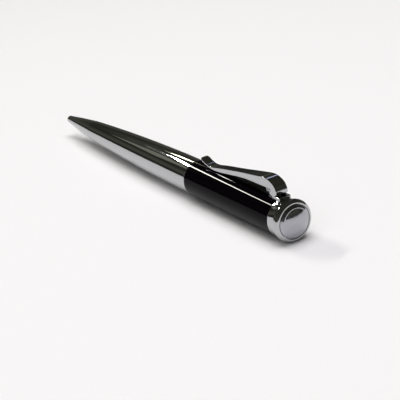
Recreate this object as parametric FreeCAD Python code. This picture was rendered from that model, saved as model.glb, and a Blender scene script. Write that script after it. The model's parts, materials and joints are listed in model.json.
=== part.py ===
import FreeCAD, Part

import math
import os

# Twist-action ballpoint pen, in millimetres. The pen lies along X with its writing tip at -X and its
# finial at +X, the clip on top (+Z). The origin is under the middle of the pen, on the surface it lies on.

# --- Lengths along the pen, from the tip to the finial ---
nose_length = 20.8             # nose cone, tip to seam
front_length = 68.4            # chromed front barrel, seam to trim ring
trim_length = 0.5              # trim ring at the joint between the two barrels
joint_gap = 0.1                # running gap between the trim ring and the turning rear barrel
cap_length = 43.4              # lacquered rear barrel
clip_ring_length = 3.5         # ring that holds the clip's bracket
finial_length = 1.7            # finial, up to the face round its dome
dome_height = 1.6              # domed inlay in the finial's end

# --- Outside radii ---
tip_radius = 1.35              # nose cone at the writing end
seam_radius = 3.60             # nose cone and front barrel at their seam
nose_bulge = 0.12              # how far the nose swells beyond a straight cone
barrel_radius = 5.64           # front barrel at its rear end
barrel_swell = 0.40            # how far the front barrel swells beyond a straight taper
land_length = 8.0              # parallel stretch at the rear end of the front barrel
spigot_length = 5.0            # nose cone's spigot in the front barrel
mouth_length = 1.8             # parallel hole at the writing end
mouth_taper = 0.40             # its widening into the chamber behind
chamber_step = 0.35            # how much wider that chamber is than the hole
nose_edge = 0.25               # rounded edge at the writing end
trim_radius = 5.74
trim_edge = 0.12
cap_radius = 5.80              # lacquered rear barrel
cap_edge = 0.15
ring_radius = 6.05             # clip ring at its rear end
finial_radius = 6.25           # finial at its widest
finial_edge_radius = 5.45      # finial's end face, where its rounded shoulder ends
dome_radius = 5.05             # foot of the domed inlay
inlay_bevel_radius = 4.25      # top of the inlay's bevel
inlay_crown_radius = 4.05      # foot of its crown, inside a narrow ledge
inlay_bevel_height = 0.65      # height of the inlay's bevel
ring_edge = 0.18               # chamfer of the clip ring beside the rear barrel
ring_flare = 3.00              # length over which the clip ring widens
ring_hollow = 0.05             # how far the flare is hollowed below a straight cone
ring_groove = 0.22             # half width of the groove between ring and finial
finial_land = 0.60             # parallel stretch of the finial before its shoulder

# --- Walls ---
cap_wall = 0.60
sleeve_wall = 0.62             # spiral sleeve, which the slots go through
guide_wall = 0.47
bush_wall = 0.70
bore_swell = 0.10              # how far the front barrel's bore swells, to leave an even wall
refill_wall = 0.30
spigot_wall = 0.95             # nose cone's spigot
trim_wall = 0.12               # front barrel between the bush and the trim ring
neck_wall = 0.38               # refill's neck round its bore
clip_wall = 0.60               # ears and web of the clip where it is hollow

# --- Refill, with its stations measured back from the ball ---
ball_radius = 0.35
ink_way_radius = 0.22          # ink's way through the point
retract_depth = 2.30           # ball's centre behind the nose's end when retracted
stroke = 5.00                  # travel of the refill
tip_tube_radius = 0.95
tip_cone_length = 2.50
tip_tube_length = 11.70
tip_spigot_radius = 0.80
tip_spigot_length = 2.00
neck_front_radius = 1.20
neck_radius = 1.75
neck_shoulder = 17.70          # ball to the shoulder that the return spring pushes on
neck_length = 30.20            # ball to the refill tube
neck_spigot_length = 2.00
neck_cone_length = 1.20        # cone from the neck up to the tube
lip_length = 0.12              # rim of the point that holds the ball
lip_wall = 0.06
refill_radius = 2.90
refill_length = 97.70          # ball to the rear end of the plug
plug_radius = 2.50
plug_edge = 0.40
plug_length = 4.00             # plug behind the tube
plug_overlap = 2.00            # plug inside the tube
vent_radius = 0.50
follower_length = 3.00
headroom = 12.50               # empty tube between the follower and the plug

# --- Twist action ---
twist_angle = 180.0            # turn of the rear barrel that brings the tip fully out
lug_radius = 0.60
lug_height = 0.90              # lug's reach beyond the plunger
lug_station = 11.80            # retracted lugs behind the collar's flange
plunger_radius = 3.20
plunger_front = 3.00           # plunger's cup, ahead of the refill's rear end
plunger_rear = 3.00            # plunger behind its lugs
collar_radius = 4.20           # male thread of the collar, drawn plain
collar_thread_length = 10.00
collar_flange = 1.50
collar_neck_length = 1.80
guide_length = 20.70
guide_plug_length = 2.00
guide_cap_length = 1.50
sleeve_start = 2.80            # behind the collar's flange
liner_start = 1.30             # behind the collar's flange
liner_tail = 4.20              # liner behind the spiral sleeve
o_ring_section = 0.42
o_ring_gap = 0.05              # between the ring and the flange

# --- Return spring ---
spring_wire = 0.20             # wire radius
spring_radius = 1.50           # mean radius of the coil
spring_turns = 7
spring_seat = 10.00            # nose's shoulder under the spring, from the tip

# --- Clip: distances ahead of its rear face, and heights above the rear barrel ---
clip_length = 39.80
clip_setback = 0.25            # clip's rear face behind the rear barrel's end
clip_tip_width = 3.00
clip_waist_width = 3.10
clip_rear_width = 4.10
clip_crown = 5.27              # top of the hump
clip_contact = 31.30           # where the clip bears on the barrel
clip_pivot_ahead = 3.35
clip_pivot_height = 1.84
clip_pin_radius = 0.50
ear_bottom = 1.22              # lower edge of the clip's rear face
hollow_front = 1.20            # hollow ahead of the bracket's head
hollow_height = 2.40           # straight part of the hollow, above the rear barrel
crown_hollow_radius = 4.20     # round part of the hollow, under the hump
crown_hollow_height = 0.90     # its centre
crown_hollow_top = 4.30        # where its crown is cut flat
bracket_head = 1.15            # bracket's rounded head round the pin
bracket_depth = 1.0            # bracket inside the rear barrel's bore
foot_height = 0.70             # bracket's foot above the rear barrel
foot_length = 1.30             # foot over the clip ring
foot_inset = 0.10              # foot inside the clip's width, each side
coil_length = 1.26             # clip's coil spring, between the centres of its end turns
coil_radius = 0.50             # its mean radius
coil_wire = 0.12
coil_turns = 4

# --- Rear end fittings ---
end_plug_length = 5.00
stud_radius = 1.50
stud_tail = 0.50               # stud ahead of its nut
nut_radius = 2.60
nut_length = 1.60
washer_length = 0.50
washer_radius = 3.20
inlay_depth = 0.60             # depth of the inlay's seat in the finial
inlay_groove = 0.12            # groove round the inlay

# --- Clearances ---
run_fit = 0.08                 # radial clearance of a running fit
slide_fit = 0.25               # refill in the barrel
ball_fit = 0.02
pin_fit = 0.03
end_play = 0.20                # axial play of turning parts
clip_gap = 0.10                # clip above the barrel when closed
pin_inset = 0.05               # pin's ends inside the clip's flanks
cut_margin = 1.00              # how far a cut runs on past what it cuts

# --- Stations along X that follow from the lengths ---
overall_length = (nose_length + front_length + trim_length + joint_gap + cap_length
                  + clip_ring_length + finial_length + dome_height)
tip_x = -overall_length / 2
seam_x = tip_x + nose_length
trim_x = seam_x + front_length
joint_x = trim_x + trim_length
cap_x = joint_x + joint_gap
ring_x = cap_x + cap_length
finial_x = ring_x + clip_ring_length
face_x = finial_x + finial_length
ball_x = tip_x + retract_depth
refill_end_x = ball_x + refill_length
axis_height = max(finial_radius, ring_radius, cap_radius)

# --- Radii that follow from the fits ---
cap_bore = cap_radius - cap_wall
spigot_bore = neck_radius + slide_fit
spigot_radius = spigot_bore + spigot_wall
barrel_bore = refill_radius + slide_fit
collar_flange_radius = cap_bore - run_fit
bush_radius = collar_radius + bush_wall
trim_seat = bush_radius + trim_wall
guide_bore = max(plunger_radius, refill_radius) + run_fit
guide_radius = guide_bore + guide_wall
sleeve_bore = guide_radius + run_fit
sleeve_radius = sleeve_bore + sleeve_wall
lug_reach = plunger_radius + lug_height
slot_radius = lug_radius + run_fit
tip_hole = tip_tube_radius + run_fit
refill_bore = refill_radius - refill_wall

# --- Stations of the twist action ---
flange_x = joint_x + collar_flange
guide_x = flange_x
guide_end_x = guide_x + guide_length
sleeve_x = flange_x + sleeve_start
sleeve_end_x = guide_end_x - end_play
liner_x = flange_x + liner_start
liner_end_x = sleeve_end_x + liner_tail
lug_x = flange_x + lug_station

# --- Stations of the refill ---
neck_end_x = ball_x + neck_length
tube_end_x = refill_end_x - plug_length
ink_x = neck_end_x + neck_spigot_length
follower_x = tube_end_x - plug_overlap - headroom - follower_length

# --- Clip's pivot ---
clip_rear_x = ring_x + clip_setback
pivot_x = clip_rear_x - clip_pivot_ahead
pivot_z = axis_height + cap_radius + clip_pivot_height
ear_gap = clip_rear_width / 2 - clip_wall
bracket_half = ear_gap - run_fit
bracket_low = cap_bore - bracket_depth
foot_half = clip_rear_width / 2 - foot_inset

AXIS = FreeCAD.Vector(1, 0, 0)
AXIS_POINT = FreeCAD.Vector(0, 0, axis_height)
UP = FreeCAD.Vector(0, 0, 1)
ACROSS = FreeCAD.Vector(0, 1, 0)


def at(x, radius):
    """A point straight above the axis, at a station and a radius."""
    return FreeCAD.Vector(x, 0, axis_height + radius)


def edge_to(first, last, between):
    """A straight line, an arc through one point between, or a smooth curve through several."""
    if not between:
        return Part.LineSegment(first, last).toShape()
    if len(between) == 1:
        return Part.Arc(first, between[0], last).toShape()
    curve = Part.BSplineCurve()
    curve.interpolate([first] + between + [last])
    return curve.toShape()


def outline_face(outline):
    """A flat face in the XZ plane from (x, radius, points passed on the way there) entries."""
    edges = []
    for start, stop in zip(outline, outline[1:] + outline[:1]):
        between = [at(*passed) for passed in stop[2:]]
        edges.append(edge_to(at(*start[:2]), at(*stop[:2]), between))
    return Part.Face(Part.Wire(edges))


def swelling(x0, r0, x1, r1, swell):
    """An outline entry for a taper that swells beyond its straight line by a parabola."""
    between = [(x0 + t * (x1 - x0), r0 + t * (r1 - r0) + 4 * swell * t * (1 - t))
               for t in (0.25, 0.5, 0.75)]
    return (x1, r1, *between)


def shoulder(x0, r0, x1, r1):
    """An outline entry for an arc that leaves (x0, r0) along the axis and falls to (x1, r1)."""
    run, drop = x1 - x0, r0 - r1
    radius = (run * run + drop * drop) / (2 * drop)
    half = math.asin(run / radius) / 2
    return (x1, r1, (x0 + radius * math.sin(half), r0 - radius * (1 - math.cos(half))))


def dome(x0, r0, x1):
    """An outline entry for a ball-shaped crown from (x0, r0) to the axis at x1."""
    rise = x1 - x0
    radius = (rise * rise + r0 * r0) / (2 * rise)
    half = math.asin(r0 / radius) / 2
    return (x1, 0, (x1 - radius * (1 - math.cos(half)), radius * math.sin(half)))


def turned(outline):
    """A solid turned about the pen's axis."""
    return outline_face(outline).revolve(AXIS_POINT, AXIS, 360)


def rod(start, stop, radius):
    """A round bar on the axis."""
    return Part.makeCylinder(radius, stop - start, at(start, 0), AXIS)


def tube(start, stop, inner, outer):
    """A round tube on the axis."""
    return rod(start, stop, outer).cut(rod(start, stop, inner))


def block(start, stop, half_width, low, high):
    """A box across the pen's middle plane, between two radii above the axis."""
    corner = FreeCAD.Vector(start, -half_width, axis_height + low)
    return Part.makeBox(stop - start, 2 * half_width, high - low, corner)


def cross_pin(x, z, radius, half_length):
    """A round bar across the pen, along Y."""
    return Part.makeCylinder(radius, 2 * half_length, FreeCAD.Vector(x, -half_length, z), ACROSS)


def radial_pin(x, inner, outer, radius, side):
    """A round bar standing out sideways from the axis, at +Y or -Y."""
    start = FreeCAD.Vector(x, side * inner, axis_height)
    return Part.makeCylinder(radius, outer - inner, start, FreeCAD.Vector(0, side, 0))


def coil(radius, wire, length, turns):
    """A coil spring along +Z from the origin: a round wire carried along a helix."""
    path = Part.Wire(Part.makeHelix(length / turns, length, radius).Edges)
    section = Part.Wire(Part.makeCircle(wire, FreeCAD.Vector(radius, 0, 0), ACROSS))
    return path.makePipeShell([section], True, True)


# --- Front barrel group ---

def nose_cone():
    """Tapered nose with a hole for the tip, a spring chamber and a spigot for the front barrel."""
    side_x = tip_x + nose_edge
    halfway = nose_edge * (1 - math.cos(math.pi / 4))
    chamber = tip_hole + chamber_step
    chamber_x = tip_x + mouth_length + mouth_taper
    seat_x = tip_x + spring_seat
    spigot_end = seam_x + spigot_length
    return turned([
        (tip_x, tip_hole), (tip_x, tip_radius - nose_edge),
        (side_x, tip_radius, (tip_x + halfway, tip_radius - halfway)),
        swelling(side_x, tip_radius, seam_x, seam_radius, nose_bulge),
        (seam_x, spigot_radius), (spigot_end, spigot_radius), (spigot_end, spigot_bore),
        (seat_x, spigot_bore), (seat_x, chamber), (chamber_x, chamber),
        (tip_x + mouth_length, tip_hole)])


def front_barrel():
    """Swelling thin-walled tube from the seam to the joint, with a parallel land and a seat for the trim."""
    land_x = trim_x - land_length
    bush_x = joint_x - collar_thread_length
    socket_end = seam_x + spigot_length
    return turned([
        (seam_x, spigot_radius), (seam_x, seam_radius),
        swelling(seam_x, seam_radius, land_x, barrel_radius, barrel_swell),
        (trim_x, barrel_radius), (trim_x, trim_seat), (joint_x, trim_seat), (joint_x, bush_radius),
        (bush_x, bush_radius), swelling(bush_x, bush_radius, socket_end, barrel_bore, bore_swell),
        (socket_end, spigot_radius)])


def trim_ring():
    """Narrow polished ring on the rear end of the front barrel."""
    low = trim_radius - trim_edge
    return turned([
        (trim_x, trim_seat), (trim_x, low), (trim_x + trim_edge, trim_radius),
        (joint_x - trim_edge, trim_radius), (joint_x, low), (joint_x, trim_seat)])


def barrel_bush():
    """Threaded bush pressed into the front barrel; its thread is drawn as a plain bore."""
    return tube(joint_x - collar_thread_length, joint_x, collar_radius, bush_radius)


def thread_collar():
    """Collar of the twist action, screwed into the bush, with a flange that seats on the barrel's end."""
    front = joint_x - collar_thread_length
    neck_end = flange_x + collar_neck_length
    return turned([
        (front, guide_bore), (front, collar_radius), (joint_x, collar_radius),
        (joint_x, collar_flange_radius), (flange_x, collar_flange_radius),
        (flange_x, guide_radius + guide_wall), (neck_end, guide_radius + guide_wall),
        (neck_end, guide_radius), (guide_x, guide_radius), (guide_x, guide_bore)])


def guide_tube():
    """Tube with two straight slots that keep the plunger's lugs from turning."""
    body = tube(guide_x, guide_end_x, guide_bore, guide_radius)
    first, last = lug_x - stroke - end_play, lug_x + end_play
    reach = guide_radius + cut_margin
    for side in (1, -1):
        for x in (first, last):
            body = body.cut(radial_pin(x, 0, reach, slot_radius, side))
    return body.cut(block(first, last, reach, -slot_radius, slot_radius))


def guide_cap():
    """Cap that closes the guide tube and keeps the spiral sleeve on it."""
    start = guide_end_x - guide_plug_length
    return turned([
        (start, 0), (start, guide_bore), (guide_end_x, guide_bore),
        (guide_end_x, sleeve_radius - run_fit), (guide_end_x + guide_cap_length, sleeve_radius - run_fit),
        (guide_end_x + guide_cap_length, 0)])


def friction_ring():
    """Rubber ring on the collar's neck that gives the twist its drag."""
    seat = guide_radius + guide_wall
    centre = at(flange_x + o_ring_section + o_ring_gap, 0)
    return Part.makeTorus(seat + o_ring_section, o_ring_section, centre, AXIS)


# --- Refill group ---

def writing_ball():
    return Part.makeSphere(ball_radius, at(ball_x, 0))


def refill_tip():
    """Metal point: a cone with the ball's socket, a tube and a spigot for the neck."""
    front = ball_x - lip_length
    tube_end = ball_x + tip_tube_length
    rear = tube_end + tip_spigot_length
    body = turned([
        (front, 0), (front, ball_radius + lip_wall), (ball_x + tip_cone_length, tip_tube_radius),
        (tube_end, tip_tube_radius), (tube_end, tip_spigot_radius), (rear, tip_spigot_radius), (rear, 0)])
    socket = Part.makeSphere(ball_radius + ball_fit, at(ball_x, 0))
    ink_way = rod(ball_x, rear, ink_way_radius)
    return body.cut(socket).cut(ink_way)


def refill_neck():
    """Stepped neck between the point and the tube, with the shoulder for the return spring."""
    start = ball_x + tip_tube_length
    spigot_end = start + tip_spigot_length
    step = ball_x + neck_shoulder
    inside = neck_front_radius - neck_wall
    return turned([
        (start, tip_spigot_radius), (start, neck_front_radius), (step, neck_front_radius),
        (step, neck_radius), (neck_end_x - neck_cone_length, neck_radius), (neck_end_x, refill_radius),
        (neck_end_x, refill_bore), (ink_x, refill_bore), (ink_x, inside),
        (spigot_end, inside), (spigot_end, tip_spigot_radius)])


def refill_tube():
    return tube(neck_end_x, tube_end_x, refill_bore, refill_radius)


def refill_plug():
    """Rear plug with a round crown that the plunger's cup takes, and a vent through it."""
    start = tube_end_x - plug_overlap
    return turned([
        (start, vent_radius), (start, refill_bore), (tube_end_x, refill_bore), (tube_end_x, plug_radius),
        (refill_end_x - plug_edge, plug_radius), (refill_end_x, plug_radius - plug_edge),
        (refill_end_x, vent_radius)])


def ink_column():
    return rod(ink_x, follower_x, refill_bore)


def grease_follower():
    return rod(follower_x, follower_x + follower_length, refill_bore)


def plunger():
    """Cup that pushes the refill, with two lugs that run in the guide's and the sleeve's slots."""
    front = refill_end_x - plunger_front
    rear = lug_x + plunger_rear
    body = turned([
        (front, plug_radius + run_fit), (front, plunger_radius), (rear, plunger_radius), (rear, 0),
        (refill_end_x, 0), (refill_end_x, plug_radius + run_fit)])
    for side in (1, -1):
        body = body.fuse(radial_pin(lug_x, plunger_radius / 2, lug_reach, lug_radius, side))
    return body.removeSplitter()


def return_spring():
    """Coil spring between the nose's shoulder and the refill's neck."""
    start = tip_x + spring_seat + spring_wire
    length = ball_x + neck_shoulder - spring_wire - start
    shape = coil(spring_radius, spring_wire, length, spring_turns)
    shape.rotate(FreeCAD.Vector(0, 0, 0), ACROSS, 90)
    shape.translate(at(start, 0))
    return shape


# --- Rear barrel group ---

def cap_tube():
    """Lacquered rear barrel, notched at its rear end for the clip's bracket."""
    body = turned([
        (cap_x, cap_bore), (cap_x, cap_radius - cap_edge), (cap_x + cap_edge, cap_radius),
        (ring_x, cap_radius), (ring_x, cap_bore)])
    return body.cut(bracket_notch())


def cap_liner():
    """Sleeve that holds the twist action in the rear barrel."""
    return tube(liner_x, liner_end_x, sleeve_radius, cap_bore)


def spiral_slot():
    """Cutter for one slot of the sleeve: a radial bar carried along the screw line, with round ends."""
    lead = stroke * 360 / twist_angle
    rise = math.atan2(lead, 2 * math.pi * sleeve_radius)
    half = slot_radius / math.cos(rise)
    inner, outer = guide_radius - cut_margin, sleeve_radius + cut_margin
    corners = [(inner, -half), (outer, -half), (outer, half), (inner, half), (inner, -half)]
    section = Part.makePolygon([FreeCAD.Vector(r, 0, z) for r, z in corners])
    path = Part.Wire(Part.makeHelix(lead, stroke, sleeve_radius).Edges)
    cutter = path.makePipeShell([section], True, True)
    for z, angle in ((0, 0), (stroke, twist_angle)):
        end = Part.makeCylinder(slot_radius, outer - inner, FreeCAD.Vector(inner, 0, z), AXIS)
        end.rotate(FreeCAD.Vector(0, 0, 0), UP, angle)
        cutter = cutter.fuse(end)
    cutter.rotate(FreeCAD.Vector(0, 0, 0), ACROSS, 90)
    cutter.translate(at(lug_x - stroke, 0))
    cutter.rotate(AXIS_POINT, AXIS, 90 - twist_angle)
    return cutter


def spiral_sleeve():
    """Sleeve with two spiral slots; turning it draws the plunger's lugs along."""
    body = tube(sleeve_x, sleeve_end_x, sleeve_bore, sleeve_radius)
    cutter = spiral_slot()
    opposite = cutter.copy()
    opposite.rotate(AXIS_POINT, AXIS, 180)
    return body.cut(cutter).cut(opposite)


def bracket_notch():
    """The space the clip's bracket fills in the rear barrel, the end plug and the ring."""
    top = max(cap_radius, ring_radius) + cut_margin
    narrow = block(pivot_x - bracket_head, clip_rear_x, bracket_half, bracket_low, top)
    wide = block(clip_rear_x, clip_rear_x + foot_length, foot_half, bracket_low, top)
    return narrow.fuse(wide)


def end_plug():
    """Plug in the rear end of the rear barrel, with the stud's threaded hole drawn plain."""
    body = tube(ring_x - end_plug_length, ring_x, stud_radius, cap_bore)
    return body.cut(bracket_notch())


def clip_ring():
    """Polished ring behind the rear barrel, flaring towards the finial, notched for the bracket."""
    start = ring_x + ring_edge
    body = turned([
        (ring_x, stud_radius), (ring_x, cap_radius - ring_edge), (start, cap_radius),
        swelling(start, cap_radius, start + ring_flare, ring_radius, -ring_hollow),
        (finial_x - ring_groove, ring_radius), (finial_x, ring_radius - ring_groove),
        (finial_x, stud_radius)])
    return body.cut(bracket_notch())


def clip_bracket():
    """Post and foot that carry the clip's pin, set in the notch of the rear barrel and the ring."""
    front, rear = pivot_x - bracket_head, pivot_x + bracket_head
    foot_top = cap_radius + foot_height
    body = block(front, clip_rear_x, bracket_half, bracket_low, foot_top)
    body = body.fuse(block(clip_rear_x, clip_rear_x + foot_length, foot_half, bracket_low, foot_top))
    body = body.fuse(block(front, rear, bracket_half, cap_radius, cap_radius + clip_pivot_height))
    body = body.fuse(cross_pin(pivot_x, pivot_z, bracket_head, bracket_half))
    body = body.cut(cross_pin(pivot_x, pivot_z, clip_pin_radius, bracket_half + cut_margin))
    return body.removeSplitter()


def clip_pin():
    return cross_pin(pivot_x, pivot_z, clip_pin_radius, clip_rear_width / 2 - pin_inset)


def finial_cap():
    """Rounded finial with a seat for its inlay; the stud's hole is drawn plain."""
    seat_x = face_x - inlay_depth
    round_x = finial_x + finial_land
    return turned([
        (finial_x, stud_radius), (finial_x, finial_radius - ring_groove),
        (finial_x + ring_groove, finial_radius), (round_x, finial_radius),
        shoulder(round_x, finial_radius, face_x, finial_edge_radius),
        (face_x, dome_radius + inlay_groove), (seat_x, dome_radius + inlay_groove),
        (seat_x, stud_radius)])


def finial_inlay():
    """Domed disc set in the finial: a bevelled foot, a narrow ledge and a crown."""
    seat_x = face_x - inlay_depth
    bevel_x = face_x + inlay_bevel_height
    return turned([
        (seat_x, 0), (seat_x, dome_radius), (face_x, dome_radius),
        (bevel_x, inlay_bevel_radius), (bevel_x, inlay_crown_radius),
        dome(bevel_x, inlay_crown_radius, face_x + dome_height)])


def finial_stud():
    """Stud that draws the finial, the ring and the plug together; its thread is drawn plain."""
    start = ring_x - end_plug_length - washer_length - nut_length - stud_tail
    return rod(start, face_x - inlay_depth, stud_radius)


def stud_washer():
    end = ring_x - end_plug_length
    return tube(end - washer_length, end, stud_radius, washer_radius)


def stud_nut():
    """Hexagon nut inside the rear barrel."""
    end = ring_x - end_plug_length - washer_length
    corners = [FreeCAD.Vector(end - nut_length, nut_radius * math.cos(math.radians(60 * i)),
                              axis_height + nut_radius * math.sin(math.radians(60 * i)))
               for i in range(7)]
    prism = Part.Face(Part.makePolygon(corners)).extrude(FreeCAD.Vector(nut_length, 0, 0))
    return prism.cut(rod(end - nut_length, end, stud_radius))


# --- Clip group ---

def clip_outline():
    """Side view of the clip: upturned tip, long straight back, round hump and flat rear face."""
    def place(ahead, height):
        return at(clip_rear_x - ahead, cap_radius + height)

    def curve(points):
        line = Part.BSplineCurve()
        line.interpolate([place(*point) for point in points])
        return line.toShape()

    back = [(clip_length - 0.55, 2.48), (clip_length - 3.0, 1.38), (clip_length - 5.8, 0.95),
            (clip_length - 9.2, 1.42), (clip_length - 16.5, 2.62), (12.55, 4.29), (7.45, 5.05),
            (5.50, clip_crown), (2.60, 4.72), (0.75, 3.55), (0, 2.19)]
    ear = [back[-1], (0, ear_bottom), (1.05, 0.42), (2.20, 0.42), (3.75, 1.12), (4.50, 1.40), (4.50, 2.38)]
    belly = [ear[-1], (12.95, 2.14), (clip_length - 16.1, 0.96), (clip_contact - 2.1, 0.25),
             (clip_contact, clip_gap), (clip_contact + 2.3, 0.16), (clip_length - 2.9, 0.85),
             (clip_length - 0.65, 1.70)]
    sides = [Part.LineSegment(place(*first), place(*last)).toShape() for first, last in zip(ear, ear[1:])]
    tip = Part.Arc(place(*belly[-1]), place(clip_length, 2.28), place(*back[0]))
    return Part.Face(Part.Wire([curve(back)] + sides + [curve(belly), tip.toShape()]))


def clip_plan():
    """Top view of the clip: a round tip, then widening to the hump."""
    tip, waist, rear = clip_tip_width / 2, clip_waist_width / 2, clip_rear_width / 2
    front = clip_rear_x - clip_length
    stations = [(front + tip, tip), (front + 3, tip), (clip_rear_x - 20, waist),
                (clip_rear_x - 7, rear), (clip_rear_x + cut_margin, rear)]
    corners = stations + [(x, -y) for x, y in reversed(stations)]
    points = [FreeCAD.Vector(x, y, 0) for x, y in corners + corners[:1]]
    top = axis_height + cap_radius + clip_crown + cut_margin
    blade = Part.Face(Part.makePolygon(points)).extrude(UP * top)
    return blade.fuse(Part.makeCylinder(tip, top, FreeCAD.Vector(front + tip, 0, 0), UP)).removeSplitter()


def clip_hollow():
    """The space under the hump between the clip's two ears, for the bracket and the spring."""
    front, rear = pivot_x - bracket_head - hollow_front, clip_rear_x - clip_wall
    straight = block(front, rear, ear_gap, cap_radius, cap_radius + hollow_height)
    crown = cross_pin(rear - crown_hollow_radius, axis_height + cap_radius + crown_hollow_height,
                      crown_hollow_radius, ear_gap)
    limit = block(front, rear, ear_gap, cap_radius, cap_radius + crown_hollow_top)
    return straight.fuse(crown.common(limit))


def clip_arm():
    """Clip, solid along its blade and hollow under its hump, where its two ears straddle the bracket."""
    half = clip_rear_width / 2
    side = clip_outline()
    side.translate(ACROSS * -half)
    body = side.extrude(ACROSS * clip_rear_width).common(clip_plan()).cut(clip_hollow())
    heel = block(clip_rear_x - clip_wall - cut_margin, clip_rear_x + cut_margin, ear_gap,
                 cap_radius - cut_margin, cap_radius + ear_bottom)
    hole = cross_pin(pivot_x, pivot_z, clip_pin_radius + pin_fit, half + cut_margin)
    return body.cut(heel).cut(hole).removeSplitter()


def clip_spring():
    """Small coil behind the pin that keeps the clip's tip down on the barrel."""
    pocket = (pivot_x + bracket_head + clip_rear_x - clip_wall) / 2
    shape = coil(coil_radius, coil_wire, coil_length, coil_turns)
    shape.translate(at(pocket, cap_radius + foot_height + coil_wire))
    return shape


PIECES = [nose_cone, front_barrel, trim_ring, barrel_bush, thread_collar, guide_tube, guide_cap,
          friction_ring, return_spring, writing_ball, refill_tip, refill_neck, refill_tube, refill_plug,
          ink_column, grease_follower, plunger, cap_tube, cap_liner, spiral_sleeve, end_plug, clip_ring,
          clip_bracket, clip_pin, finial_cap, finial_inlay, finial_stud, stud_washer, stud_nut, clip_arm,
          clip_spring]

os.makedirs("parts", exist_ok=True)
for piece in PIECES:
    shape = piece()
    print(piece.__name__, shape.isValid(), len(shape.Solids), round(shape.Volume, 2))
    shape.exportStep("parts/" + piece.__name__ + ".step")
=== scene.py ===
"""A twist-action ballpoint pen lying on white paper: chromed front barrel, black lacquered rear barrel,
sprung clip and domed finial. Everything is in metres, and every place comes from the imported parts."""
import json
import math

import bmesh
import bpy
import numpy as np
from mathutils import Matrix, Quaternion, Vector


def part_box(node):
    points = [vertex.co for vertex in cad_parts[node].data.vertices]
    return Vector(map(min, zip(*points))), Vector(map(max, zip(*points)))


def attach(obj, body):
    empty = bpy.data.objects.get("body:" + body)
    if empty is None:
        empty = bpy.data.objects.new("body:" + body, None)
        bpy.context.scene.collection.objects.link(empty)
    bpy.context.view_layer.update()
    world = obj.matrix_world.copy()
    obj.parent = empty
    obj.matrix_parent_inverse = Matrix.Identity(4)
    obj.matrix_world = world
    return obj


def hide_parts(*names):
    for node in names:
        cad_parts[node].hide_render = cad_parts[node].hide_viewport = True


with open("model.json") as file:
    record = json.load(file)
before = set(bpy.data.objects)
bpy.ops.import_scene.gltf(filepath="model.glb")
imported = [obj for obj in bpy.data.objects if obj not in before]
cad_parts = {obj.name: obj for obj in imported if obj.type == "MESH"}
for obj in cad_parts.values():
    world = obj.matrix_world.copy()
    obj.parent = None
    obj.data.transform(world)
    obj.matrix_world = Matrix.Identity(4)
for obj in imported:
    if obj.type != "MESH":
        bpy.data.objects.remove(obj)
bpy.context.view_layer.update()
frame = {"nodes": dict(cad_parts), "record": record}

MM = 0.001


def reach(node):
    """A turned part's largest radius about the pen's axis, less a hair so that nothing stands out."""
    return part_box(node)[1].y - 2e-6


# --- Stations and radii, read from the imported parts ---
axis_z = (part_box("front_barrel")[0].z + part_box("front_barrel")[1].z) / 2
tip_x, nose_rear = (corner.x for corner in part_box("nose_cone"))
seam_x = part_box("front_barrel")[0].x
trim_x, joint_x = (corner.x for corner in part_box("trim_ring"))
cap_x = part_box("cap_tube")[0].x
ring_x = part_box("clip_ring")[0].x
finial_x, face_x = (corner.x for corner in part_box("finial_cap"))
seat_x, crown_x = (corner.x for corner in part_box("finial_inlay"))
seam_radius = reach("nose_cone")
barrel_radius = reach("front_barrel")
trim_radius = reach("trim_ring")
cap_radius = reach("cap_tube")
ring_radius = reach("clip_ring")
finial_radius = reach("finial_cap")
inlay_radius = reach("finial_inlay")
bush_radius = reach("barrel_bush")

# --- Sizes that the parts' boxes don't give ---
tip_radius = 1.35 * MM         # nose at the writing end
nose_edge = 0.25 * MM          # its rounded edge
nose_bulge = 0.12 * MM
spigot_radius = 2.95 * MM
spigot_bore = 2.00 * MM
spring_seat = 10.0 * MM        # spring's shoulder, from the tip
mouth_length = 1.8 * MM
mouth_radius = 1.03 * MM       # hole the point comes out of
mouth_slope = 0.4 * MM
chamber_radius = 1.38 * MM     # bore round the refill's point
ball_clearance = 0.02 * MM
point_lip = 0.06 * MM          # metal rolled over the ball
point_taper = 2.5 * MM
shank_length = 2.0 * MM
shank_radius = 0.8 * MM
post_head = 1.15 * MM          # bracket's round head
post_clearance = 0.08 * MM
foot_height = 0.70 * MM        # bracket's foot above the barrel
barrel_swell = 0.40 * MM
bore_swell = 0.10 * MM
barrel_bore = 3.15 * MM        # front barrel's bore at the nose
land_length = 8.0 * MM         # parallel stretch ahead of the joint
thread_length = 10.0 * MM
cap_wall = 0.60 * MM
stud_radius = 1.50 * MM
ring_flare = 3.00 * MM
ring_hollow = 0.05 * MM
groove_depth = 0.22 * MM       # groove between the ring and the finial
finial_land = 0.60 * MM
finial_edge = 5.45 * MM        # finial's end face, outside
inlay_groove = 0.12 * MM
bevel_radius = 4.25 * MM       # top of the inlay's bevel
crown_radius = 4.05 * MM       # foot of its crown
bevel_height = 0.65 * MM
ease = 0.06 * MM               # the usual broken edge of a polished part
guard = 0.02 * MM              # rows set close to an edge so that the flats beside it stay flat

TURNS = 192                    # faces round a turned piece


# --- Lines ---

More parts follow.
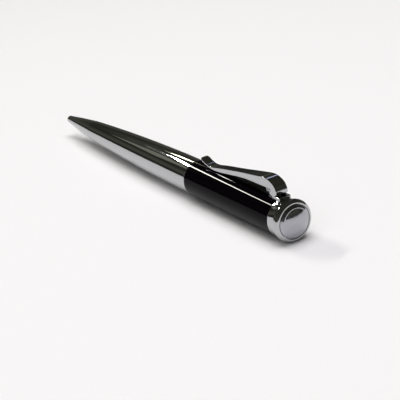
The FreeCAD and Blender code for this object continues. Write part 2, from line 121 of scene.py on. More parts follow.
def eased(corners, steps=5):
    """A line through (a, b, ease) corners. Each corner is a parabola that leaves one side and joins the
    other that far from the corner: P = (1-t)^2 A + 2t(1-t) C + t^2 D."""
    points = np.array(corners, float)
    places, eases = points[:, :2], points[:, 2]
    line = [places[:1]]
    t = np.linspace(0, 1, steps + 1)[:, None]
    for before, here, after, size in zip(places, places[1:], places[2:], eases[1:]):
        back = (before - here) / np.linalg.norm(before - here)
        on = (after - here) / np.linalg.norm(after - here)
        if size == 0:
            line.append(here + np.array([back * guard, on * 0, on * guard]))
            continue
        start, stop = here + back * size, here + on * size
        bend = (1 - t) ** 2 * start + 2 * t * (1 - t) * here + t ** 2 * stop
        line += [[start + back * guard], bend, [stop + on * guard]]
    return np.concatenate(line + [places[-1:]])


def swollen(x0, r0, x1, r1, swell, steps=40):
    """A straight run with a parabola on it: r = r0 + t (r1 - r0) + 4 swell t (1 - t)."""
    t = np.linspace(0, 1, steps + 1)
    return np.stack([x0 + t * (x1 - x0), r0 + t * (r1 - r0) + 4 * swell * t * (1 - t)], 1)


def falling(x0, r0, x1, r1, steps=14):
    """A quarter-round that leaves (x0, r0) along the axis and falls to (x1, r1) on one circle."""
    run, drop = x1 - x0, r0 - r1
    radius = (run ** 2 + drop ** 2) / (2 * drop)
    turn = np.linspace(0, math.asin(run / radius), steps + 1)
    return np.stack([x0 + radius * np.sin(turn), r0 - radius * (1 - np.cos(turn))], 1)


def domed(x0, r0, x1, steps=24):
    """A ball-shaped crown from (x0, r0) to the axis at x1."""
    rise = x1 - x0
    radius = (rise ** 2 + r0 ** 2) / (2 * rise)
    turn = np.linspace(math.asin(r0 / radius), 0, steps + 1)
    return np.stack([x1 - radius * (1 - np.cos(turn)), radius * np.sin(turn)], 1)


def spline(points, count=1600):
    """A smooth line through points: the cubic spline over chord length with no bend at its ends."""
    p = np.array(points, float)
    t = np.concatenate([[0], np.cumsum(np.hypot(*np.diff(p, axis=0).T))])
    span = np.diff(t)[:, None]
    slope = np.diff(p, axis=0) / span
    inner = np.arange(1, len(p) - 1)
    matrix, pull = np.eye(len(p)), np.zeros_like(p)
    matrix[inner, inner - 1] = span[:-1, 0]
    matrix[inner, inner] = 2 * (span[:-1, 0] + span[1:, 0])
    matrix[inner, inner + 1] = span[1:, 0]
    pull[1:-1] = 6 * np.diff(slope, axis=0)
    bend = np.linalg.solve(matrix, pull)
    s = np.linspace(0, t[-1], count)
    k = np.clip(np.searchsorted(t, s, side="right") - 1, 0, len(p) - 2)
    left, right, width = (s - t[k])[:, None], (t[k + 1] - s)[:, None], span[k]
    return ((bend[k] * right ** 3 + bend[k + 1] * left ** 3) / (6 * width)
            + (p[k] / width - bend[k] * width / 6) * right
            + (p[k + 1] / width - bend[k + 1] * width / 6) * left)


def evenly(line, count):
    """The same line with its points spaced evenly along it."""
    length = np.concatenate([[0], np.cumsum(np.hypot(*np.diff(line, axis=0).T))])
    at = np.linspace(0, length[-1], count)
    return np.stack([np.interp(at, length, line[:, 0]), np.interp(at, length, line[:, 1])], 1)


# --- Meshes ---

def grid_faces(rows, columns, ring):
    """Four-cornered faces between the points of a grid whose columns close on themselves; with ring its
    rows do too."""
    i, j = np.meshgrid(np.arange(rows if ring else rows - 1), np.arange(columns), indexing="ij")
    k, m = (i + 1) % rows, (j + 1) % columns
    return np.stack([i * columns + j, k * columns + j, k * columns + m, i * columns + m], -1).reshape(-1, 4)


def skin(name, points, ring=False, ends=()):
    """A closed mesh over a grid of points (rows, columns, 3). ends names the rows that are filled flat.
    Doubled points are merged, and the faces are turned outwards by the sign of the volume they hold."""
    rows, columns = points.shape[:2]
    faces = grid_faces(rows, columns, ring).tolist()
    faces += [(np.arange(columns) + row * columns).tolist() for row in ends]
    mesh = bpy.data.meshes.new(name)
    mesh.from_pydata(points.reshape(-1, 3).tolist(), [], faces)
    shape = bmesh.new()
    shape.from_mesh(mesh)
    bmesh.ops.remove_doubles(shape, verts=shape.verts, dist=1e-7)
    bmesh.ops.dissolve_degenerate(shape, edges=shape.edges, dist=1e-8)
    bmesh.ops.recalc_face_normals(shape, faces=shape.faces)
    if shape.calc_volume(signed=True) < 0:
        bmesh.ops.reverse_faces(shape, faces=shape.faces)
    shape.to_mesh(mesh)
    shape.free()
    mesh.shade_smooth()
    mesh.set_sharp_from_angle(angle=math.radians(38))
    piece = bpy.data.objects.new(name, mesh)
    bpy.context.scene.collection.objects.link(piece)
    return piece


def turned(name, profile, ring=True):
    """A surface of revolution: the profile's point (x, r) is carried round the pen's axis, to
    (x, -r sin a, axis + r cos a)."""
    a = np.linspace(0, 2 * np.pi, TURNS, endpoint=False)
    x, r = profile[:, :1], profile[:, 1:]
    points = np.stack(np.broadcast_arrays(x, -r * np.sin(a), axis_z + r * np.cos(a)), -1)
    return skin(name, points, ring)


def plate(name, outline, half, edge, steps=5):
    """A plate cut to a closed outline in (x, z), standing half each side of the pen's middle plane, with
    rounded edges: ring t lies at y = half - edge (1 - sin t), drawn in by edge (1 - cos t)."""
    centre = outline.mean(axis=0)
    ahead = np.roll(outline, -1, axis=0) - np.roll(outline, 1, axis=0)
    within = np.stack([-ahead[:, 1], ahead[:, 0]], 1)
    within /= np.linalg.norm(within, axis=1)[:, None]
    if ((centre - outline) * within).sum() < 0:
        within = -within
    t = np.radians(np.linspace(90, 0, steps + 1))
    drawn = np.concatenate([edge * (1 - np.cos(t)), edge * (1 - np.cos(t))[::-1]])
    across = np.concatenate([-half + edge * (1 - np.sin(t)), (half - edge * (1 - np.sin(t)))[::-1]])
    rows = outline[None] + within[None] * drawn[:, None, None]
    rows = np.concatenate([np.broadcast_to(centre, rows[:1].shape), rows,
                           np.broadcast_to(centre, rows[:1].shape)])
    across = np.concatenate([[-half], across, [half]])
    y = np.broadcast_to(across[:, None], rows.shape[:2])
    return skin(name, np.stack([rows[..., 0], y, rows[..., 1]], -1))


# --- Materials ---

def linear(colour):
    """An sRGB hex colour as a linear RGBA value."""
    parts = [int(colour[i:i + 2], 16) / 255 for i in (1, 3, 5)]
    return [p / 12.92 if p <= 0.04045 else ((p + 0.055) / 1.055) ** 2.4 for p in parts] + [1.0]


def add(tree, kind, inputs, **settings):
    """Adds a node, sets its settings, and gives each input a value or a link from another node's socket."""
    made = tree.nodes.new(kind)
    for name, value in settings.items():
        setattr(made, name, value)
    for name, value in inputs.items():
        if isinstance(value, bpy.types.NodeSocket):
            tree.links.new(value, made.inputs[name])
        else:
            made.inputs[name].default_value = value
    return made


def surface(name, colour, **sockets):
    """A material with one Principled shader. Returns the material, its tree, its shader and the position
    in metres on the piece."""
    material = bpy.data.materials.new(name)
    material.use_nodes = True
    tree = material.node_tree
    tree.nodes.clear()
    values = {"Base Color": linear(colour)}
    values.update({key.replace("_", " "): value for key, value in sockets.items()})
    shader = add(tree, "ShaderNodeBsdfPrincipled", values)
    add(tree, "ShaderNodeOutputMaterial", {"Surface": shader.outputs[0]})
    place = add(tree, "ShaderNodeTexCoord", {}).outputs["Object"]
    return material, tree, shader, place


def speckle(tree, place, stretch, size, detail=3.0):
    """Noise whose grains are size long, drawn out along the pen by stretch."""
    drawn = add(tree, "ShaderNodeMapping", {"Vector": place, "Scale": (1 / stretch, 1, 1)})
    return add(tree, "ShaderNodeTexNoise",
               {"Vector": drawn.outputs[0], "Scale": 1 / size, "Detail": detail}).outputs["Fac"]


def spread(tree, value, low, high):
    """A 0 to 1 pattern carried to low..high, from its middle range."""
    return add(tree, "ShaderNodeMapRange",
               {"Value": value, "From Min": 0.3, "From Max": 0.7, "To Min": low, "To Max": high}).outputs[0]


def bumped(tree, shader, height, depth):
    """Presses a 0 to 1 pattern into the surface, depth metres at most."""
    bump = add(tree, "ShaderNodeBump", {"Height": height, "Strength": 1.0, "Distance": depth})
    tree.links.new(bump.outputs[0], shader.inputs["Normal"])


def chrome_plate():
    """Bright chromium plate over polished brass: a near mirror, cool grey, with the faint drag of the
    polishing wheel along the pen and finger marks that dull it a little."""
    material, tree, shader, place = surface("polished_chrome_plate", "#B4B5B7", Metallic=1.0)
    marks = speckle(tree, place, 1.5, 6 * MM)
    tree.links.new(spread(tree, marks, 0.02, 0.06), shader.inputs["Roughness"])
    bumped(tree, shader, speckle(tree, place, 40, 0.5 * MM, 2.0), 0.0004 * MM)
    return material


def satin_chrome():
    """Chromium plate over a blasted disc: a softer, darker mirror that blurs the room's edges."""
    material, tree, shader, place = surface("satin_chrome_plate", "#AAAAB0", Metallic=1.0)
    grain = speckle(tree, place, 1, 0.7 * MM)
    tree.links.new(spread(tree, grain, 0.10, 0.18), shader.inputs["Roughness"])
    bumped(tree, shader, grain, 0.0006 * MM)
    return material


def black_lacquer():
    """Black lacquer, sprayed and buffed: a deep black with a clear wet gloss that is very slightly wavy,
    so that a lamp draws a thin line with soft ends."""
    material, tree, shader, place = surface("buffed_black_lacquer", "#050306", IOR=1.45,
                                            Specular_IOR_Level=0.06)
    haze = speckle(tree, place, 3, 4 * MM)
    tree.links.new(spread(tree, haze, 0.02, 0.05), shader.inputs["Roughness"])
    bumped(tree, shader, speckle(tree, place, 2, 1.6 * MM, 1.0), 0.0006 * MM)
    return material


def turned_brass():
    """Free-cutting brass, turned and left bare: warm yellow with fine tool rings round it."""
    material, tree, shader, place = surface("turned_brass", "#D9B66A", Metallic=1.0)
    rings = speckle(tree, place, 0.02, 0.6 * MM)
    tree.links.new(spread(tree, rings, 0.22, 0.38), shader.inputs["Roughness"])
    bumped(tree, shader, rings, 0.004 * MM)
    return material


def turned_steel():
    """Stainless steel, turned or drawn: a satin grey with rings finer than the brass's."""
    material, tree, shader, place = surface("turned_stainless_steel", "#A9A9AA", Metallic=1.0)
    rings = speckle(tree, place, 0.02, 0.4 * MM)
    tree.links.new(spread(tree, rings, 0.16, 0.30), shader.inputs["Roughness"])
    bumped(tree, shader, rings, 0.003 * MM)
    return material


def spring_wire():
    """Hard-drawn spring wire: bright, with a slight drawn grain."""
    material, tree, shader, place = surface("drawn_spring_wire", "#B4B4B2", Metallic=1.0)
    grain = speckle(tree, place, 1, 0.25 * MM)
    tree.links.new(spread(tree, grain, 0.18, 0.34), shader.inputs["Roughness"])
    bumped(tree, shader, grain, 0.002 * MM)
    return material


def ground_carbide():
    """Tungsten carbide ground to a ball: dark grey, almost a mirror, with a very fine grain."""
    material, tree, shader, place = surface("ground_tungsten_carbide", "#7E7F83", Metallic=1.0)
    grain = speckle(tree, place, 1, 0.05 * MM)
    tree.links.new(spread(tree, grain, 0.10, 0.22), shader.inputs["Roughness"])
    bumped(tree, shader, grain, 0.0005 * MM)
    return material


def nickel_tube():
    """Drawn brass tube with dull nickel plate: pale warm grey with long die lines."""
    material, tree, shader, place = surface("drawn_nickel_tube", "#BDB9AF", Metallic=1.0)
    lines = speckle(tree, place, 60, 0.35 * MM)
    tree.links.new(spread(tree, lines, 0.20, 0.36), shader.inputs["Roughness"])
    bumped(tree, shader, lines, 0.002 * MM)
    return material


def moulded_acetal():
    """Acetal, injection moulded: milky white, slippery and softly shiny, with a trace of flow marks."""
    material, tree, shader, place = surface("moulded_acetal", "#E9E8E2", IOR=1.48,
                                            Subsurface_Weight=0.15, Subsurface_Radius=(MM, MM, MM))
    flow = speckle(tree, place, 4, 2.5 * MM)
    tree.links.new(spread(tree, flow, 0.32, 0.46), shader.inputs["Roughness"])
    bumped(tree, shader, flow, 0.003 * MM)
    return material


def nitrile_rubber():
    """Nitrile rubber ring: matt black with a greasy, slightly pitted skin."""
    material, tree, shader, place = surface("moulded_nitrile_rubber", "#1A1A1B", IOR=1.5)
    pits = speckle(tree, place, 1, 0.3 * MM)
    tree.links.new(spread(tree, pits, 0.55, 0.75), shader.inputs["Roughness"])
    bumped(tree, shader, pits, 0.006 * MM)
    return material


def ballpoint_ink():
    """Ballpoint paste: so strong a blue that it looks black, wet and glossy."""
    material, tree, shader, place = surface("ballpoint_paste", "#0B1140", IOR=1.5)
    clots = speckle(tree, place, 2, 1.0 * MM)
    tree.links.new(spread(tree, clots, 0.08, 0.2), shader.inputs["Roughness"])
    bumped(tree, shader, clots, 0.004 * MM)
    return material


def follower_grease():
    """Follower grease: clear, straw-coloured jelly behind the ink."""
    material, tree, shader, place = surface("straw_grease", "#D8C27A", IOR=1.47, Transmission_Weight=0.5)
    clots = speckle(tree, place, 2, 1.2 * MM)
    tree.links.new(spread(tree, clots, 0.1, 0.25), shader.inputs["Roughness"])
    bumped(tree, shader, clots, 0.005 * MM)
    return material


def writing_paper():
    """Smooth uncoated office paper: matt white with fibres that barely show, drawn coarser than real."""
    material, tree, shader, place = surface("uncoated_paper", "#F3F2F2", Roughness=0.85)
    fibres = speckle(tree, place, 1, 0.8 * MM, 4.0)
    tone = add(tree, "ShaderNodeMix", {"Factor": fibres, "A": linear("#F1F0F1"), "B": linear("#F5F4F3")},
               data_type="RGBA")
    tree.links.new(tone.outputs["Result"], shader.inputs["Base Color"])
    bumped(tree, shader, fibres, 0.01 * MM)
    return material


chrome = chrome_plate()
satin = satin_chrome()
lacquer = black_lacquer()
brass = turned_brass()
steel = turned_steel()
wire = spring_wire()
carbide = ground_carbide()
nickel = nickel_tube()
acetal = moulded_acetal()
rubber = nitrile_rubber()
ink = ballpoint_ink()
grease = follower_grease()
SLOTS = {"chrome_shell": chrome, "chrome_fittings": chrome, "black_lacquer": lacquer, "brass": brass,
         "steel": steel, "spring_steel": wire, "ball_carbide": carbide, "refill_metal": nickel,
         "white_acetal": acetal, "black_rubber": rubber, "blue_ink": ink, "follower_grease": grease}


def finish_piece(piece, body, slot, *nodes, coat=None):
    """Gives a piece its material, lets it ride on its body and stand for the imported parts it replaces."""
    piece.data.materials.append(coat or SLOTS[slot])
    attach(piece, body)
    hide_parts(*nodes)


# --- Front barrel ---

def nose():
    """Nose cone: rounded lip, swelling taper, a broken edge at the seam and the bore for tip and spring."""
    side = swollen(tip_x + nose_edge, tip_radius, seam_x, seam_radius, nose_bulge)
    hole, chamber = mouth_radius, chamber_radius
    lip = eased([(tip_x + mouth_length, hole, 0), (tip_x, hole, ease), (tip_x, tip_radius, nose_edge),
                 (*side[4], 0)], 8)
    back = eased([(*side[-2], 0), (seam_x, seam_radius, ease), (seam_x, spigot_radius, 0),
                  (nose_rear, spigot_radius, 0), (nose_rear, spigot_bore, 0),
                  (tip_x + spring_seat, spigot_bore, 0), (tip_x + spring_seat, chamber, 0),
                  (tip_x + mouth_length + mouth_slope, chamber, 0), (tip_x + mouth_length, hole, 0)])
    piece = turned("nose_shell", np.concatenate([lip[:-1], side[4:-2], back[:-1]]))
    finish_piece(piece, "barrel", "chrome_shell", "nose_cone")


def front_tube():
    """Front barrel: a thin tube that swells to a parallel land, with broken edges at both ends."""
    land_x = trim_x - land_length
    bush_x = joint_x - thread_length
    socket_x = nose_rear
    outside = swollen(seam_x, seam_radius, land_x, barrel_radius, barrel_swell)
    bore = swollen(bush_x, bush_radius, socket_x, barrel_bore, bore_swell)
    front = eased([(seam_x, spigot_radius, 0), (seam_x, seam_radius, ease), (*outside[2], 0)])
    rear = eased([(*outside[-1], 0), (trim_x, barrel_radius, ease), (trim_x, bush_radius + 0.12 * MM, 0),
                  (joint_x, bush_radius + 0.12 * MM, 0), (joint_x, bush_radius, 0),
                  (bush_x, bush_radius, 0)])
    profile = [front[:-1], outside[2:-1], rear[:-1], bore, [[socket_x, spigot_radius]]]
    finish_piece(turned("front_shell", np.concatenate(profile)), "barrel", "chrome_shell", "front_barrel")


def joint_ring():
    """Narrow bright ring at the joint, rounded like a half bead so that it always catches a light."""
    seat = bush_radius + 0.12 * MM
    bead = 0.18 * MM
    profile = eased([(trim_x, seat, 0), (trim_x, trim_radius, bead), (joint_x, trim_radius, bead),
                     (joint_x, seat, 0)], 8)
    finish_piece(turned("joint_bead", profile), "barrel", "chrome_fittings", "trim_ring")


# --- Rear barrel ---

def rear_tube():
    """Lacquered rear barrel: a straight tube, its lacquer drawn thin and round over both ends."""
    bore = cap_radius - cap_wall
    round_over = 0.15 * MM
    profile = eased([(cap_x, bore, 0), (cap_x, cap_radius, round_over), (ring_x, cap_radius, ease),
                     (ring_x, bore, 0)])
    finish_piece(turned("rear_shell", profile), "cap", "black_lacquer", "cap_tube")


def clip_band():
    """Polished ring behind the rear barrel: a chamfer, a hollow flare and the groove at the finial."""
    edge = 0.18 * MM
    start = ring_x + edge
    flare = swollen(start, cap_radius, start + ring_flare, ring_radius, -ring_hollow, 16)
    front = eased([(ring_x, stud_radius, 0), (ring_x, cap_radius - edge, ease), (*flare[0], ease),
                   (*flare[3], 0)])
    rear = eased([(*flare[-1], 0), (finial_x - groove_depth, ring_radius, ease),
                  (finial_x, ring_radius - groove_depth, ease), (finial_x, stud_radius, 0)])
    profile = np.concatenate([front[:-1], flare[3:-1], rear])
    finish_piece(turned("clip_band", profile), "cap", "chrome_fittings", "clip_ring")


def finial():
    """Finial: parallel rim, quarter-round shoulder, flat end face and the seat of its inlay."""
    round_x = finial_x + finial_land
    shoulder = falling(round_x, finial_radius, face_x, finial_edge)
    seat = inlay_radius + inlay_groove
    front = eased([(finial_x, stud_radius, 0), (finial_x, finial_radius - groove_depth, ease),
                   (finial_x + groove_depth, finial_radius, ease), (round_x, finial_radius, 0)])
    rear = eased([(*shoulder[-1], 0), (face_x, seat, ease), (seat_x, seat, 0), (seat_x, stud_radius, 0)])
    profile = np.concatenate([front[:-1], shoulder, rear[1:]])
    finish_piece(turned("finial_rim", profile), "cap", "chrome_fittings", "finial_cap")


def finial_disc():
    """Domed disc in the finial: a bevel, a narrow ledge, then a crown like the cap of a ball."""
    bevel_x = face_x + bevel_height
    crown = domed(bevel_x, crown_radius, crown_x)
    foot = eased([(seat_x, 0, 0), (seat_x, inlay_radius, 0), (face_x, inlay_radius, ease),
                  (bevel_x, bevel_radius, ease), (*crown[0], ease / 2), (*crown[2], 0)])
    profile = np.concatenate([foot[:-1], crown[2:]])
    finish_piece(turned("finial_disc", profile, ring=False), "cap", "chrome_fittings", "finial_inlay",
                 coat=satin)


# --- Clip ---

clip_low, clip_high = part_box("clip_arm")
clip_length = clip_high.x - clip_low.x
clip_crown = clip_high.z - axis_z - cap_radius - 6e-6
clip_half = clip_high.y
tip_half = 1.50 * MM
waist_half = 1.55 * MM
ear_gap = 1.45 * MM            # half the gap between the clip's ears
web = 0.75 * MM                # wall over the hollow
hollow_length = 5.7 * MM       # hollow under the hump, ahead of the rear face
clip_edge = 0.16 * MM          # rounding of the clip's long edges
pin_low, pin_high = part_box("clip_pin")
pin_x, pin_z = (pin_low.x + pin_high.x) / 2, (pin_low.z + pin_high.z) / 2


def smooth_step(t):
    """0 before 0, 1 after 1, and 3t^2 - 2t^3 between."""
    t = np.clip(t, 0, 1)
    return t * t * (3 - 2 * t)


def clip_width(ahead):
    """Half the clip's width: a rounded tip, then two smooth steps up to the waist and the hump."""
    waist_at, hump_at, corner = 20 * MM, 7 * MM, tip_half
    wide = tip_half + (waist_half - tip_half) * smooth_step((clip_length - 3 * MM - ahead) / (16.8 * MM))
    wide = wide + (clip_half - waist_half) * smooth_step((waist_at - ahead) / (waist_at - hump_at))
    short = np.clip(1 - (clip_length - ahead) / corner, 0, 1)
    return wide - corner * (1 - np.sqrt(1 - short ** 2))


def clip_stations():
    """The clip's back and belly as two matched lines of (ahead of the rear face, above the barrel):
    rounded tip, blade, then the hump paired with the lower edge of the ear."""
    length = clip_length / MM
    back = spline([(length - 0.55, 2.48), (length - 3.0, 1.38), (length - 5.8, 0.95),
                   (length - 9.2, 1.42), (length - 16.5, 2.62), (12.55, 4.29), (7.45, 5.05),
                   (5.50, clip_crown / MM), (2.60, 4.72), (0.75, 3.55), (0, 2.19)])
    belly = spline([(4.50, 2.38), (12.95, 2.14), (length - 16.1, 0.96), (29.2, 0.25), (31.3, 0.10),
                    (33.6, 0.16), (length - 2.9, 0.85), (length - 0.65, 1.70)])
    bend = np.radians(np.linspace(0, 85, 8))[:, None]
    tip_top = np.array([length - 0.6, 2.12]) + np.cos(bend) * [0.6, 0] + np.sin(bend) * [0, 0.36]
    tip_low = np.array([length - 0.6, 2.12]) + np.cos(bend) * [0.6, 0] - np.sin(bend) * [0, 0.42]
    ahead = np.linspace(length - 0.75, 4.5, 150)
    top = np.stack([ahead, np.interp(ahead, back[::-1, 0], back[::-1, 1])], 1)
    low = np.stack([ahead, np.interp(ahead, belly[:, 0], belly[:, 1])], 1)
    hump = np.concatenate([back[back[:, 0] < 4.5], [[0, 1.22]]])
    ear = eased([(4.5, 2.38, 0), (4.5, 1.35, 0.30), (3.75, 1.12, 0.25), (2.2, 0.42, 0.4),
                 (1.05, 0.42, 0.3), (0, 1.22, 0)])
    upper = np.concatenate([tip_top, top, evenly(hump, 60)[1:]]) * MM
    lower = np.concatenate([tip_low, low, evenly(ear, 60)[1:]]) * MM
    return upper, lower


def inward(line, towards):
    """Unit directions square to a line, on the side of another line."""
    along = np.gradient(line, axis=0)
    square = np.stack([-along[:, 1], along[:, 0]], 1)
    square /= np.linalg.norm(square, axis=1)[:, None] + 1e-12
    side = np.sign(((towards - line) * square).sum(1))
    side[side == 0] = 1
    return square * side[:, None]


def round_line(x, z, radius, start, stop, steps=32):
    """Points on a circle in (x, z), from one angle to another in degrees; 90 points up."""
    a = np.radians(np.linspace(start, stop, steps + 1))
    return np.stack([x + radius * np.cos(a), z + radius * np.sin(a)], 1)


def hollow_out(piece, y):
    """Sinks a round recess into the clip's flank for the pin's head."""
    outline = round_line(pin_x, pin_z, 0.80 * MM, 0, 360, 48)[:-1]
    tool = plate("recess_tool", outline, 0.22 * MM, 0.04 * MM)
    tool.data.transform(Matrix.Translation((0, y, 0)))
    cut = piece.modifiers.new("recess", "BOOLEAN")
    cut.operation, cut.solver, cut.object = "DIFFERENCE", "EXACT", tool
    shape = piece.evaluated_get(bpy.context.evaluated_depsgraph_get())
    old = piece.data
    piece.data = bpy.data.meshes.new_from_object(shape)
    piece.modifiers.clear()
    piece.data.set_sharp_from_angle(angle=math.radians(38))
    bpy.data.meshes.remove(old)
    bpy.data.objects.remove(tool)


def clip():
    """Clip: at each station a closed loop runs over the back, round its edge, down the flank, round the
    lower edge and across the belly, or up into the hollow where there is one."""
    upper, lower = clip_stations()
    thick = np.linalg.norm(upper - lower, axis=1)
    edge = np.minimum(clip_edge, thick * 0.4)[:, None]
    down, up = inward(upper, lower), inward(lower, upper)
    down[-1], up[-1] = down[-2], up[-2]
    hollow = upper[:, 0] < hollow_length
    inside = np.where(hollow[:, None], upper + down * web, lower)
    first = int(np.argmax(hollow))
    order = np.insert(np.arange(len(upper)), first, first)
    inside = inside[order]
    inside[first] = lower[first]
    upper, lower, edge, down, up = (a[order] for a in (upper, lower, edge, down, up))
    wide_up, wide_low = clip_width(upper[:, 0])[:, None], clip_width(lower[:, 0])[:, None]
    gap = np.minimum(ear_gap, wide_low - edge)
    t = np.radians(np.linspace(0, 90, 6))
    half_loop = [(upper, 0 * edge), (upper, wide_up - edge - guard)]
    half_loop += [(upper + down * edge * (1 - math.cos(a)), wide_up - edge * (1 - math.sin(a))) for a in t]
    half_loop += [(upper + down * (edge + guard), wide_up), (lower + up * (edge + guard), wide_low)]
    half_loop += [(lower + up * edge * (1 - math.cos(a)), wide_low - edge * (1 - math.sin(a)))
                  for a in t[::-1]]
    half_loop += [(lower, gap), (inside, gap), (inside, 0 * edge)]
    places = [place for place, _ in half_loop + half_loop[-2:0:-1]]
    across = [y for _, y in half_loop] + [-y for _, y in half_loop[-2:0:-1]]
    flat, y = np.stack(places, 1), np.stack(across, 1)[..., 0]
    points = np.stack([clip_high.x - flat[..., 0], y, axis_z + cap_radius + flat[..., 1]], -1)
    piece = skin("clip_blade", points, ends=(0, len(points) - 1))
    for side in (-1, 1):
        hollow_out(piece, side * clip_half)
    finish_piece(piece, "clip", "chrome_fittings", "clip_arm")


def bracket():
    """Bracket: a round-headed post between the clip's ears, on a foot that fills the notch in the ring."""
    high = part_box("clip_bracket")[1]
    head, overlap = post_head, 0.2 * MM
    post_half = ear_gap - post_clearance
    foot_top = axis_z + cap_radius + foot_height
    base = axis_z + cap_radius - MM
    post = np.concatenate([round_line(pin_x, pin_z, head, 180, 0),
                           np.linspace((pin_x + head, pin_z - overlap), (pin_x + head, base), 12),
                           np.linspace((pin_x + head - overlap, base), (pin_x - head, base), 12),
                           np.linspace((pin_x - head, base + overlap),
                                       (pin_x - head, pin_z - overlap), 12)])
    finish_piece(plate("bracket_post", post, post_half, 0.08 * MM), "cap", "chrome_fittings",
                 "clip_bracket")
    front = pin_x + head - 0.1 * MM
    corners = [(front, base, 0), (front, foot_top, 0.15 * MM), (high.x, foot_top, 0.25 * MM),
               (high.x, base, 0.1 * MM), (front, base, 0)]
    foot = plate("bracket_foot", evenly(eased(corners)[:-1], 80), high.y, 0.12 * MM)
    finish_piece(foot, "cap", "chrome_fittings", "clip_bracket")


def pin():
    """Clip's pin: a round bar with softly domed ends that stand in the clip's recesses."""
    radius = (pin_high.z - pin_low.z) / 2
    outline = round_line(pin_x, pin_z, radius, 0, 360, 48)[:-1]
    piece = plate("clip_rivet", outline, pin_high.y, 0.22 * MM)
    finish_piece(piece, "cap", "steel", "clip_pin")


# --- Refill's point ---

def point():
    """Refill's point: a socket round the ball, a cone rolled over it, then a short tube."""
    low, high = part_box("refill_tip")
    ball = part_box("writing_ball")
    ball_x = (ball[0].x + ball[1].x) / 2
    radius = reach("refill_tip")
    size = reach("writing_ball")
    seat, lip = size + ball_clearance, size + point_lip
    around = np.linspace(0, math.acos(max(-0.95, (low.x + ball_clearance - ball_x) / seat)), 25)
    socket = np.stack([ball_x + seat * np.cos(around), seat * np.sin(around)], 1)
    step_x = high.x - shank_length
    side = eased([(*socket[-1], 0), (low.x, lip, 0.01 * MM), (ball_x + point_taper, radius, 0.3 * MM),
                  (step_x, radius, ease), (step_x, shank_radius, 0), (high.x, shank_radius, 0),
                  (high.x, 0, 0)])
    profile = np.concatenate([socket[:-1], side])
    finish_piece(turned("refill_point", profile, ring=False), "refill", "steel", "refill_tip")
    a = np.radians(np.linspace(180, 0, 49))
    sphere = np.stack([ball_x + size * np.cos(a), size * np.sin(a)], 1)
    finish_piece(turned("point_ball", sphere, ring=False), "ball", "ball_carbide", "writing_ball")


nose()
front_tube()
joint_ring()
rear_tube()
clip_band()
finial()
finial_disc()
clip()
bracket()
pin()
point()

slot_of = {part["node"]: part["material_slot"] for part in frame["record"]["subparts"]}
for name, part in frame["nodes"].items():
    part.data.materials.clear()
    part.data.materials.append(SLOTS[slot_of[name]])


# --- Floor, light and camera ---

def paper_sheet():
    """The pale floor: one flat sheet, larger than the view."""
    half = 1.6
    mesh = bpy.data.meshes.new("paper_sheet")
    corners = [(-half, -half, 0), (half, -half, 0), (half, half, 0), (-half, half, 0)]
    mesh.from_pydata(corners, [], [(0, 1, 2, 3)])
    mesh.materials.append(writing_paper())
    sheet = bpy.data.objects.new("paper_sheet", mesh)
    bpy.context.scene.collection.objects.link(sheet)


def lamp(name, turn, rise, lean, distance, width, height, radiance, colour, mirrored=True):
    """A soft rectangular lamp that faces the pen from an angle round it and an angle above the floor.
    turn is measured from +X towards +Y; lean lifts the lamp's far end on that side; mirrored says
    whether polished parts show it."""
    light = bpy.data.lights.new(name, "AREA")
    light.shape = "RECTANGLE"
    light.size, light.size_y = width, height
    light.energy = radiance * math.pi * width * height
    light.color = linear(colour)[:3]
    holder = bpy.data.objects.new(name, light)
    turn, rise = math.radians(turn), math.radians(rise)
    away = Vector((math.cos(turn) * math.cos(rise), math.sin(turn) * math.cos(rise), math.sin(rise)))
    holder.location = Vector((0, 0, axis_z)) + away * distance
    level = away.to_track_quat("Z", "Y")
    holder.rotation_euler = (level @ Quaternion((0, 0, 1), math.radians(lean))).to_euler()
    holder.visible_glossy = mirrored
    bpy.context.scene.collection.objects.link(holder)


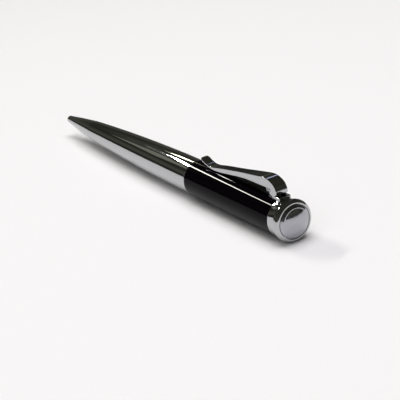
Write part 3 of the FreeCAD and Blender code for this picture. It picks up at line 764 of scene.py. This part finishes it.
def room():
    """A dim studio: warm dark grey all round, a little lighter a hand above the horizon."""
    world = bpy.data.worlds.new("dim_studio")
    bpy.context.scene.world = world
    world.use_nodes = True
    tree = world.node_tree
    tree.nodes.clear()
    sky = add(tree, "ShaderNodeTexCoord", {})
    rise = add(tree, "ShaderNodeSeparateXYZ", {"Vector": sky.outputs["Generated"]})
    ramp = add(tree, "ShaderNodeValToRGB", {"Fac": rise.outputs["Z"]})
    stops = [(0.0, "#3A3A38"), (0.10, "#2E2E2C"), (0.20, "#5A5A50"), (0.30, "#4C4C44"), (0.38, "#2C2C26"),
             (0.50, "#484840"), (0.60, "#30302A"), (1.0, "#3C3C34")]
    for place, colour in stops[1:-1]:
        ramp.color_ramp.elements.new(place)
    for element, (place, colour) in zip(ramp.color_ramp.elements, stops):
        element.position = place
        element.color = linear(colour)
    light = add(tree, "ShaderNodeBackground", {"Color": ramp.outputs["Color"], "Strength": 1.0})
    add(tree, "ShaderNodeOutputWorld", {"Surface": light.outputs[0]})


def camera():
    """A long lens looking down along the pen from behind the finial."""
    lens = bpy.data.cameras.new("camera")
    lens.lens, lens.sensor_width = 99.0, 36.0
    lens.clip_start, lens.clip_end = 0.01, 20
    eye = bpy.data.objects.new("camera", lens)
    ahead = Vector((-0.79986, 0.46990, -0.37339)).normalized()
    right = ahead.cross(Vector((-0.26275, 0.28518, 0.92176))).normalized()
    over = right.cross(ahead)
    turn = Matrix((right, over, -ahead)).transposed()
    eye.matrix_world = Matrix.Translation(Vector((294.63, -162.16, 127.41)) * MM) @ turn.to_4x4()
    bpy.context.scene.collection.objects.link(eye)
    bpy.context.scene.camera = eye


paper_sheet()
lamp("tube_lamp", 189.5, 36.0, 8, 6, 2.2, 0.13, 110, "#FFFFF4")
lamp("end_lamp", 161.5, 30.2, 14, 6, 0.55, 0.18, 10, "#FBFFDC")
lamp("cool_lamp", 138.5, 38, 0, 6, 0.40, 0.50, 1.2, "#D4DAFF")
lamp("dim_card", 196, 28, 0, 6, 1.10, 0.80, 0.22, "#FFFFE8")
lamp("soft_key", 100, 86, 0, 1.3, 1.1, 1.1, 4.1, "#FDFCFF", False)
lamp("soft_fill", -60, 45, 0, 1.6, 1.4, 1.0, 1.3, "#FBFAFF", False)
room()
camera()
bpy.context.scene.view_settings.view_transform = "Standard"
